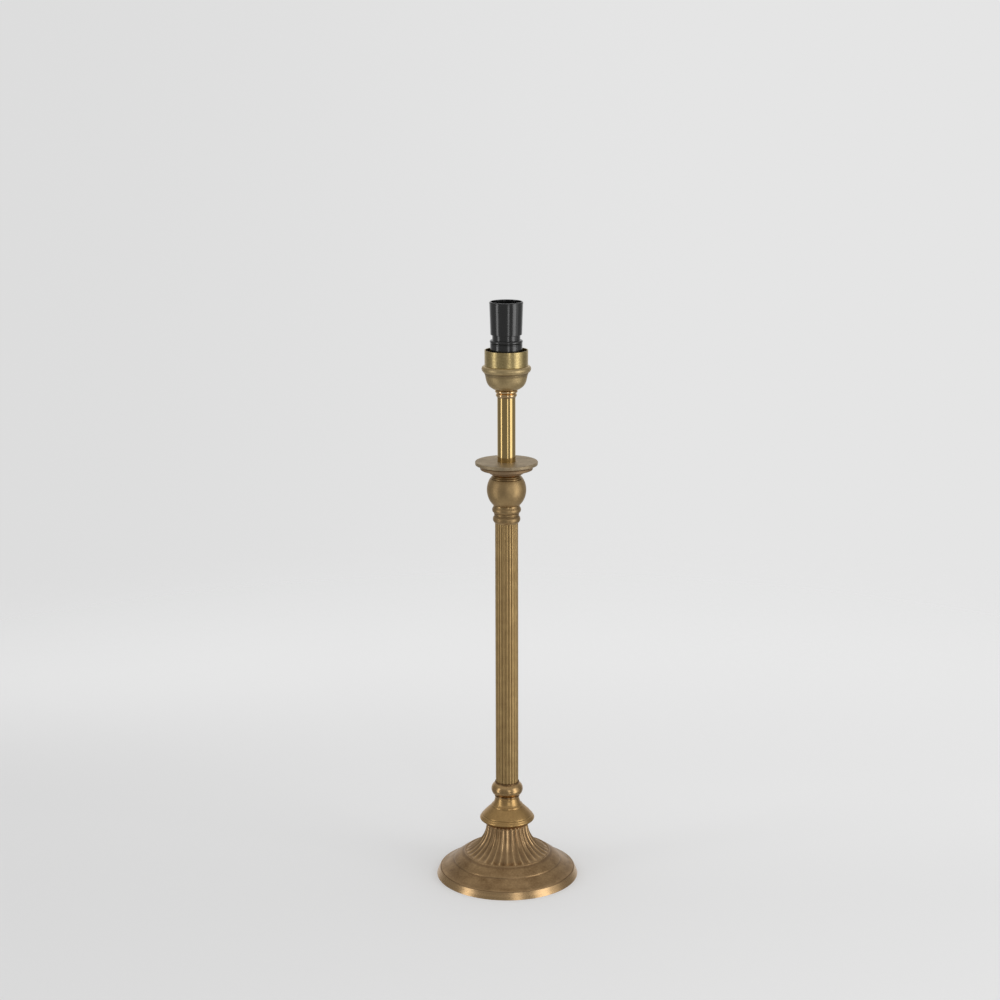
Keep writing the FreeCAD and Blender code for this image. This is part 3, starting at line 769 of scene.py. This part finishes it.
def foot_outline():
    """The foot's outline, which begins with the bell, and the bell points' shares."""
    raw = half_plane("base_foot")
    edge = nearest(raw, BELL[0])
    ring = raw[edge:] + raw[:edge]
    if any(r < WITHIN_CROWN for r, z in ring[1:nearest(ring, BELL[-1])]):
        ring = ring[:1] + ring[1:][::-1]
    rest = ring[nearest(ring, BELL[-1]):] + ring[:1]
    rounded = refined(rest, corner=40.0, fillet=0.3, closed=False, step=0.8,
                      sharp=(BORDER_POINT,))
    shares = [0.0]
    for stop, count in BELL_STOPS:
        start = shares[-1]
        shares += [start + (stop - start) * k / count for k in range(1, count + 1)]
    return [tuple(bell_point(t)) for t in shares] + rounded[1:-1], shares


def plate_marks(r, z, dirt, worn):
    """Wear and soil off the bell: a rubbed rim, and dirt in the groove by the border."""
    r, z = r / MM, z / MM
    rim = 0.76 if r > PLATE_RIM[0] and z < PLATE_RIM[1] else 0.0
    groove = 0.0
    if r > BORDER_FOOT[0] and z > BORDER_FOOT[1]:
        groove = max(0.0, 1 - abs(r - GROOVE) / GROOVE_REACH)
    edge = 0.25 if r > BORDER_RING[0] and z > BORDER_RING[1] else 0.55
    return max(0.3 + edge * worn, rim), max(dirt, 0.35 * groove)


def bell_marks(z, t, across, depth, dirt):
    """Wear and soil of the bell: rubbed between the flutes and dark in them."""
    edge = max(0.0, abs(across) - 0.72) / 0.28
    wear = 0.42 + 0.58 * edge ** 1.5
    soil_and_shade = 0.42 * (depth / FLUTE_SHARE) ** 1.4 * (1.1 - 0.7 * t)
    # both fade out towards the knop's seat
    near = max(0.0, min(1.0, (z / MM - SEAT_FROM) / SEAT_OVER))
    return wear + (0.68 - wear) * near, max(soil_and_shade, dirt * 0.6) * (1 - near)


def make_foot():
    outline, shares = foot_outline()
    dirt, worn = groove_marks(outline, reach=0.8)

    def shape(i, r, z, angle):
        if i >= len(shares):
            return (r, z, *plate_marks(r, z, dirt[i], worn[i]))
        across = across_rib(angle, FLUTES)
        depth = flute_depth(shares[i], across)
        return (r * (1 - depth), z, *bell_marks(z, shares[i], across, depth, dirt[i]))

    built = spun(outline, ribbed_angles(FLUTES, FLUTE_SAMPLES), shape=shape)
    return add_piece("base_foot_cast", built, fluted, ["base_foot"],
                     limit=RIBBED_CREASE)


foot = make_foot()
bored(foot, BUSH_HOLE, (0, BUSH_FROM, BUSH_HEIGHT), (0, BUSH_TO, BUSH_HEIGHT))


# ---------------------------------------------------------------- turned pieces
lathe("base_pad", felt, fillet=0.5)
lathe("base_knop", antique, corner=60.0, fillet=0.3,
      lines=((75.6, 0.5, -0.28), (74.5, 0.4, 0.2), (65.3, 0.45, 0.35), (64.3, 0.4, -0.15)),
      soiled=0.6, plain=0.45, lift=(76.5, 0.2))
lathe("lower_collar", copper, corner=55.0, fillet=0.2)
lathe("upper_collar", collar_brass, corner=70.0, fillet=0.2, soiled=0.5)
lathe("ball_knop", satin, fillet=0.2,
      lines=((422.6, 0.4, 0.45), (424.4, 0.3, 0.2)))
lathe("pan_neck_ring", ring_brass, corner=95.0, fillet=0.1)
# the pan's tier and underside, below its top's edge, get painted shade in its warm brown dark
# colour
lathe("drip_pan", dull, corner=42.0, soiled=0.3, edge=0.15, painted_shade_below=(434.4, 0.45))
lathe("candle_tube", candle_brass, fillet=0.15)
lathe("cup_collar", warm_polish, corner=62.0, fillet=0.15)
lathe("holder_cup", matt, corner=48.0, soiled=1.6)
lathe("cup_sleeve", polished, fillet=0.2, edge=0.4)
lathe("lampholder_cap", black, corner=60.0, fillet=0.5)
lathe("shade_skirt", black, corner=60.0, fillet=0.3, body="skirt")


# ---------------------------------------------------------------- column
REEDS = 22
REED_SAMPLES = 14           # vertices across one reed
REED_VALLEY = 10.9 * MM     # radius between two reeds
REED_RISE = 0.8 * MM        # how far a reed stands out
TUBE_BORE = 9.2 * MM        # the tube's inner radius
TUBE_ROWS = 24              # rows of faces up the tube


def make_column():
    low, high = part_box("column_tube")
    bottom, top = low.z, high.z
    rows = [(TUBE_BORE, bottom)]
    rows += [(REED_VALLEY, bottom + (top - bottom) * k / TUBE_ROWS) for k in range(TUBE_ROWS)]
    rows += [(REED_VALLEY, top), (TUBE_BORE, top)]

    def shape(i, r, z, angle):
        if i == 0 or i == len(rows) - 1:
            return r, z, EVEN_WEAR, 0.0
        swell = math.sqrt(max(0.0, 1 - across_rib(angle, REEDS) ** 2))
        return r + REED_RISE * swell, z, 0.44 + 0.2 * swell ** 2, 0.5 * (1 - swell) ** 1.2

    built = spun(rows, ribbed_angles(REEDS, REED_SAMPLES), shape=shape)
    add_piece("column_reeded", built, reeded, ["column_tube"],
              limit=RIBBED_CREASE)


make_column()


# ---------------------------------------------------------------- lampholder barrel
SLOT_HALF = 1.4 * MM        # half the width of a J slot
SLOT_DEPTH = 8.5 * MM       # how far it falls from the mouth
HOOK_RISE = 2.8 * MM        # the height of the hook at its foot
HOOK_SWEEP = math.radians(20)       # how far round the hook runs
HOOK_STEPS = 8
CUT_FROM, CUT_TO = 6 * MM, 16 * MM      # radii inside and outside the barrel's wall
CUT_OVER = 1 * MM           # how far a cutter stands over the mouth


def prism(corners, low, high, turn):
    """A cutter that stands over its corners, turned about the lamp's axis."""
    spin = Matrix.Rotation(turn, 3, "Z")
    bm = bmesh.new()
    bottom = [bm.verts.new(spin @ Vector((x, y, low))) for x, y in corners]
    top = [bm.verts.new(spin @ Vector((x, y, high))) for x, y in corners]
    count = len(corners)
    bm.faces.new(bottom[::-1])
    bm.faces.new(top)
    for k in range(count):
        bm.faces.new([bottom[k], bottom[(k + 1) % count], top[(k + 1) % count], top[k]])
    return placed_mesh("cutter", bm)


def slot_cutters(mouth, turn):
    """One J slot's two cutters: the fall from the mouth and the hook at its foot."""
    floor = mouth - SLOT_DEPTH
    fall = [(CUT_FROM, -SLOT_HALF), (CUT_TO, -SLOT_HALF), (CUT_TO, SLOT_HALF),
            (CUT_FROM, SLOT_HALF)]
    sweep = [HOOK_SWEEP * k / HOOK_STEPS for k in range(HOOK_STEPS + 1)]
    hook = [(CUT_FROM, 0.0)] + [(CUT_TO * math.cos(a), CUT_TO * math.sin(a)) for a in sweep]
    hook.append((CUT_FROM * math.cos(HOOK_SWEEP), CUT_FROM * math.sin(HOOK_SWEEP)))
    return [prism(fall, floor, mouth + CUT_OVER, turn),
            prism(hook, floor, floor + HOOK_RISE, turn)]


# its outline is read a quarter turn from the slots
barrel = lathe("lampholder_barrel", black, corner=60.0, fillet=0.15,
               turn=math.pi / 2, hollow=True)
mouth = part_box("lampholder_barrel")[1].z
carved(barrel, slot_cutters(mouth, 0.0) + slot_cutters(mouth, math.pi))


# ---------------------------------------------------------------- small pieces
LIP_STEPS = 6               # steps of a lip's half round
LIP_SHARE = 0.6             # how long a lip is, as a share of its height


def along_y(name, radii, node, material):
    """A short tube along Y with rounded lips, where its node is."""
    low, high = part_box(node)
    middle = (low.z + high.z) / 2
    bore, outer = radii
    lip = (outer - bore) / 2
    turns = [math.pi * k / LIP_STEPS for k in range(LIP_STEPS + 1)]
    outline = []
    for end, out in ((low.y, -1), (high.y, 1)):
        arc = [(bore + lip - lip * math.cos(a), end - out * lip * LIP_SHARE * (1 - math.sin(a)))
               for a in turns]
        outline += arc if out > 0 else arc[::-1]
    vertices, faces, wear, soil_and_shade = spun(outline, even_angles(64))
    vertices = [(x, z, middle + y) for x, y, z in vertices]
    return add_piece(name, (vertices, faces, wear, soil_and_shade), material, [node])


along_y("cord_bush_lipped", (2.55 * MM, 3 * MM), "cord_bush", bush_black)

PLUNGER = 5.5 * MM          # how far a plunger stands from the lamp's axis
for side, sign in (("left", -1), ("right", 1)):
    lathe("contact_plunger_" + side, contact_metal, corner=42.0, fillet=0.12,
          columns=48, centre=(sign * PLUNGER, 0.0), body="plunger_" + side)

# each spring, which shortens to its seat as its plunger goes down, keeps its imported coil here,
# in a mesh of its own
for side in ("left", "right"):
    node = "plunger_spring_" + side
    coil = NODES[node].data
    parts = ([tuple(v.co) for v in coil.vertices], [tuple(f.vertices) for f in coil.polygons],
             [EVEN_WEAR] * len(coil.vertices), [0.0] * len(coil.vertices))
    spring = add_piece(node + "_coil", parts, spring_metal, [node],
                       limit=RIBBED_CREASE)
    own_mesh(spring)

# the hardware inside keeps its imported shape
for node, material in (("base_nut", zinc), ("base_washer", zinc), ("threaded_rod", zinc),
                       ("cup_nut", zinc), ("contact_block", inner_black),
                       ("terminal_posts", contact_metal), ("terminal_screws", zinc)):
    for holder in NODES[node].material_slots:
        holder.material = material


# ---------------------------------------------------------------- studio
def disc_floor(radius):
    """A pale round floor that fades out towards its edge."""
    bm = bmesh.new()
    bmesh.ops.create_circle(bm, cap_ends=True, segments=128, radius=radius)
    floor = placed_mesh("floor", bm)
    t = Surface("StudioFloor")
    x, y, _ = t.apart(t.place())
    # painted light and shade: paler towards the back, and darker on the left as painted shadow
    tone = t.blend(t.spread(y, -0.1, 0.25), grey(234), grey(241))
    tone = t.blend(t.spread(y, 0.25, 0.9), tone, grey(249))
    left = t.maths("MULTIPLY", t.spread(x, 0.3, -0.9, 0.0, 0.75), t.spread(y, 0.7, 0.15))
    t.feed(t.shader, "Base Color", t.blend(left, tone, grey(222)))
    t.feed(t.shader, "Roughness", 0.9)
    t.shader.inputs["Specular IOR Level"].default_value = 0.1
    clear = t.add("ShaderNodeBsdfTransparent")
    fading = t.spread(t.length(x, y), radius * 0.45, radius * 0.98)
    mixed = t.add("ShaderNodeMixShader", {0: fading, 1: t.shader.outputs[0], 2: clear.outputs[0]})
    t.feed(t.tree.nodes["Material Output"], "Surface", mixed.outputs[0])
    floor.data.materials.append(t.material)
    floor.visible_glossy = False


def make_world():
    """The studio round the lamp: what the camera sees, what shines in it, what lights it."""
    world = bpy.data.worlds.new("studio")
    bpy.context.scene.world = world
    world.use_nodes = True
    world.node_tree.nodes.clear()
    t = Tree(world.node_tree)
    ray = t.add("ShaderNodeLightPath").outputs
    x, y, z = t.apart(t.add("ShaderNodeTexCoord").outputs["Generated"])
    # the backdrop that the camera sees is darker on the left: painted shade
    backdrop = t.blend(t.spread(x, -0.26, 0.12), grey(221), grey(229))
    gloss = t.blend(t.spread(y, 0.55, 0.97), linear_grey(0.27), linear_grey(0.74))
    gloss = t.blend(t.spread(z, 0.25, 1.0), gloss, linear_grey(0.55))
    gloss = t.blend(t.spread(z, -0.5, -0.9), gloss, linear_grey(0.6))
    colour = t.blend(ray["Is Glossy Ray"], linear_grey(0.80), gloss)
    colour = t.blend(ray["Is Camera Ray"], colour, backdrop)
    shine = t.add("ShaderNodeBackground", {"Color": colour, "Strength": 1.0})
    t.add("ShaderNodeOutputWorld", {"Surface": shine.outputs[0]})


LIGHT_DISTANCE = 2.0        # from the lamp's axis to each light


def soft_box(name, turn, width, height, middle, strength):
    """A soft light that faces the lamp; turn 0 is the camera's side, + is right.

    middle is the height of its middle, and strength how bright its face is."""
    data = bpy.data.lights.new(name, "AREA")
    data.shape = "RECTANGLE"
    data.size = width
    data.size_y = height
    data.energy = strength * width * height * math.pi
    light = placed(name, data)
    a = math.radians(turn)
    light.location = (LIGHT_DISTANCE * math.sin(a), -LIGHT_DISTANCE * math.cos(a), middle)
    light.rotation_euler = (math.pi / 2, 0, a)
    light.visible_camera = False


disc_floor(1.5)
make_world()
soft_box("box_left", -67, 0.50, 2.4, 0.35, 1.9)
soft_box("box_right", 59, 0.84, 2.4, 0.35, 1.7)
soft_box("box_side", 76, 1.10, 2.4, 0.35, 0.45)
soft_box("box_front", 16, 0.36, 1.4, 0.70, 1.7)
soft_box("box_low", 19, 0.36, 0.6, -0.75, 1.6)

# the photograph's camera, fitted to the lamp's outline
LENS, SENSOR = 74.8, 36.0   # mm
CAMERA_PLACE = (-0.0066, -2.0334, 0.8687)
CAMERA_DIP = 12.99          # degrees below the horizon
CAMERA_ROLL = -0.15         # degrees

scene = bpy.context.scene
camera_data = bpy.data.cameras.new("camera")
camera_data.lens = LENS
camera_data.sensor_width = SENSOR
camera = placed("camera", camera_data)
camera.matrix_world = (Matrix.Translation(CAMERA_PLACE)
                       @ Matrix.Rotation(math.radians(90 - CAMERA_DIP), 4, "X")
                       @ Matrix.Rotation(math.radians(CAMERA_ROLL), 4, "Z"))
scene.camera = camera
scene.view_settings.view_transform = "Standard"
